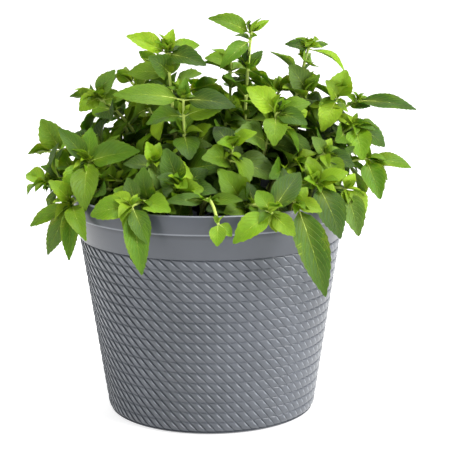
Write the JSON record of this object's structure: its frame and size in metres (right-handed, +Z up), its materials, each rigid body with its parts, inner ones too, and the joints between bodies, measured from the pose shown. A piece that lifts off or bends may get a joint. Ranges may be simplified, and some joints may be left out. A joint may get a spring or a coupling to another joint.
{
  "type": "potted mint plant",
  "caption": "Bushy mint plant with opposite pointed leaves, growing from potting soil in a tapered planter with a woven wall and a plain rim band.",
  "frame": {"origin": "centre of the planter's flat underside, on the surface it stands on", "axes": "+Z up along the planter's axis, -Y towards the plant's front, +X to the right seen from the front"},
  "size_m": [0.43, 0.3671, 0.4356],
  "materials": {
    "pot_plastic": "satin",
    "soil": "matte",
    "mint": "satin"
  },
  "bodies": {
    "root": {"planter": "pot_plastic", "soil": "soil", "shoot_01": "mint", "shoot_02": "mint", "shoot_03": "mint", "shoot_04": "mint", "shoot_05": "mint", "shoot_06": "mint", "shoot_07": "mint", "shoot_08": "mint", "shoot_09": "mint", "shoot_10": "mint", "shoot_11": "mint", "shoot_12": "mint", "shoot_13": "mint", "shoot_14": "mint", "shoot_15": "mint", "shoot_16": "mint", "shoot_17": "mint", "shoot_18": "mint", "shoot_19": "mint", "shoot_20": "mint", "shoot_21": "mint", "shoot_22": "mint", "shoot_23": "mint", "shoot_24": "mint", "shoot_25": "mint", "shoot_26": "mint", "shoot_27": "mint", "shoot_28": "mint", "shoot_29": "mint", "shoot_30": "mint", "shoot_31": "mint", "shoot_32": "mint", "shoot_33": "mint", "shoot_34": "mint", "shoot_35": "mint", "shoot_36": "mint", "shoot_37": "mint", "shoot_38": "mint", "shoot_39": "mint", "shoot_40": "mint", "shoot_41": "mint", "shoot_42": "mint", "shoot_43": "mint", "shoot_44": "mint", "shoot_45": "mint", "shoot_46": "mint", "shoot_47": "mint", "shoot_48": "mint", "shoot_49": "mint", "shoot_50": "mint", "shoot_51": "mint", "shoot_52": "mint", "shoot_53": "mint", "shoot_54": "mint", "shoot_55": "mint", "shoot_56": "mint", "shoot_57": "mint"}
  },
  "joints": []
}
